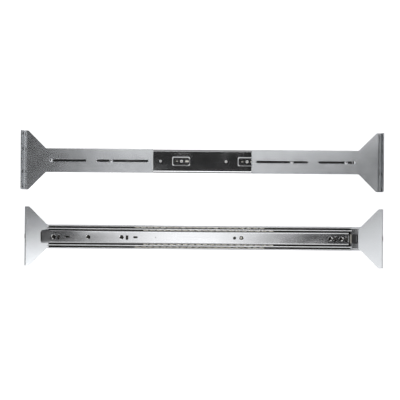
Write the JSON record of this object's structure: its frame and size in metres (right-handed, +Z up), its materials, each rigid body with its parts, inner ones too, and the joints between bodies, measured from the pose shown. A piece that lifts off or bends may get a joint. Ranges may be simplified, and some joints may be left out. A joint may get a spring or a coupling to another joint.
{
  "type": "sliding server rail pair",
  "caption": "Pair of full-extension ball-bearing server slides, each with flared slotted brackets that bolt to the posts of an equipment rack.",
  "frame": {"origin": "middle of the pair's box, on the surface it lies on", "axes": "+X along the rails to the rear of the rack, +Y from rail B (inner member up) to rail A (back up), +Z up from the surface"},
  "size_m": [0.697, 0.261, 0.0327],
  "materials": {
    "zinc_steel": "bright zinc-plated rolled steel, mirror-like, with faint drawn lines",
    "cage_steel": "plain thin zinc-plated strip",
    "ball_steel": "polished hardened steel",
    "black_plastic": "moulded black acetal",
    "natural_plastic": "moulded undyed acetal",
    "bracket_steel": "satin blue-grey zinc-plated sheet steel",
    "screw_steel": "bright zinc-plated pan-head screw"
  },
  "bodies": {
    "fixed_members": {"rail_a_outer_member": "zinc_steel", "rail_a_rear_bumper": "black_plastic", "rail_a_front_bracket_screws": "screw_steel", "rail_a_rear_bracket_screws": "screw_steel", "rail_b_outer_member": "zinc_steel", "rail_b_rear_bumper": "black_plastic", "rail_b_front_bracket_screws": "screw_steel", "rail_b_rear_bracket_screws": "screw_steel"},
    "rail_a_intermediate": {"rail_a_intermediate_member": "zinc_steel", "rail_a_intermediate_bumper": "natural_plastic"},
    "rail_a_inner": {"rail_a_inner_member": "zinc_steel"},
    "rail_a_outer_cage": {"rail_a_outer_ball_cage": "cage_steel", "rail_a_outer_balls": "ball_steel"},
    "rail_a_inner_cage": {"rail_a_inner_ball_cage": "cage_steel", "rail_a_inner_balls": "ball_steel"},
    "rail_a_front_bracket": {"rail_a_front_bracket": "bracket_steel"},
    "rail_a_rear_bracket": {"rail_a_rear_bracket": "bracket_steel"},
    "rail_b_intermediate": {"rail_b_intermediate_member": "zinc_steel", "rail_b_intermediate_bumper": "natural_plastic"},
    "rail_b_inner": {"rail_b_inner_member": "zinc_steel"},
    "rail_b_outer_cage": {"rail_b_outer_ball_cage": "cage_steel", "rail_b_outer_balls": "ball_steel"},
    "rail_b_inner_cage": {"rail_b_inner_ball_cage": "cage_steel", "rail_b_inner_balls": "ball_steel"},
    "rail_b_front_bracket": {"rail_b_front_bracket": "bracket_steel"},
    "rail_b_rear_bracket": {"rail_b_rear_bracket": "bracket_steel"}
  },
  "joints": [
    {"name": "rail_a_intermediate_slide", "type": "slide", "parent": "fixed_members", "child": "rail_a_intermediate", "axis": [-1, 0, 0], "range_m": [0, 0.295]},
    {"name": "rail_a_inner_slide", "type": "slide", "parent": "rail_a_intermediate", "child": "rail_a_inner", "axis": [-1, 0, 0], "range_m": [0, 0.287]},
    {"name": "rail_a_outer_cage_roll", "type": "slide", "parent": "fixed_members", "child": "rail_a_outer_cage", "axis": [-1, 0, 0], "range_m": [0, 0.1475]},
    {"name": "rail_a_inner_cage_roll", "type": "slide", "parent": "rail_a_intermediate", "child": "rail_a_inner_cage", "axis": [-1, 0, 0], "range_m": [0, 0.1435]},
    {"name": "rail_a_front_bracket_slide", "type": "slide", "parent": "fixed_members", "child": "rail_a_front_bracket", "axis": [-1, 0, 0], "range_m": [0, 0.065]},
    {"name": "rail_a_rear_bracket_slide", "type": "slide", "parent": "fixed_members", "child": "rail_a_rear_bracket", "axis": [1, 0, 0], "range_m": [-0.015, 0.05]},
    {"name": "rail_b_intermediate_slide", "type": "slide", "parent": "fixed_members", "child": "rail_b_intermediate", "axis": [-1, 0, 0], "range_m": [0, 0.295]},
    {"name": "rail_b_inner_slide", "type": "slide", "parent": "rail_b_intermediate", "child": "rail_b_inner", "axis": [-1, 0, 0], "range_m": [0, 0.287]},
    {"name": "rail_b_outer_cage_roll", "type": "slide", "parent": "fixed_members", "child": "rail_b_outer_cage", "axis": [-1, 0, 0], "range_m": [0, 0.1475]},
    {"name": "rail_b_inner_cage_roll", "type": "slide", "parent": "rail_b_intermediate", "child": "rail_b_inner_cage", "axis": [-1, 0, 0], "range_m": [0, 0.1435]},
    {"name": "rail_b_front_bracket_slide", "type": "slide", "parent": "fixed_members", "child": "rail_b_front_bracket", "axis": [-1, 0, 0], "range_m": [0, 0.065]},
    {"name": "rail_b_rear_bracket_slide", "type": "slide", "parent": "fixed_members", "child": "rail_b_rear_bracket", "axis": [1, 0, 0], "range_m": [-0.015, 0.05]}
  ],
  "couplings": [
    {"joint": "rail_a_outer_cage_roll", "follows": "rail_a_intermediate_slide", "ratio": 0.5},
    {"joint": "rail_a_inner_cage_roll", "follows": "rail_a_inner_slide", "ratio": 0.5},
    {"joint": "rail_b_outer_cage_roll", "follows": "rail_b_intermediate_slide", "ratio": 0.5},
    {"joint": "rail_b_inner_cage_roll", "follows": "rail_b_inner_slide", "ratio": 0.5}
  ]
}
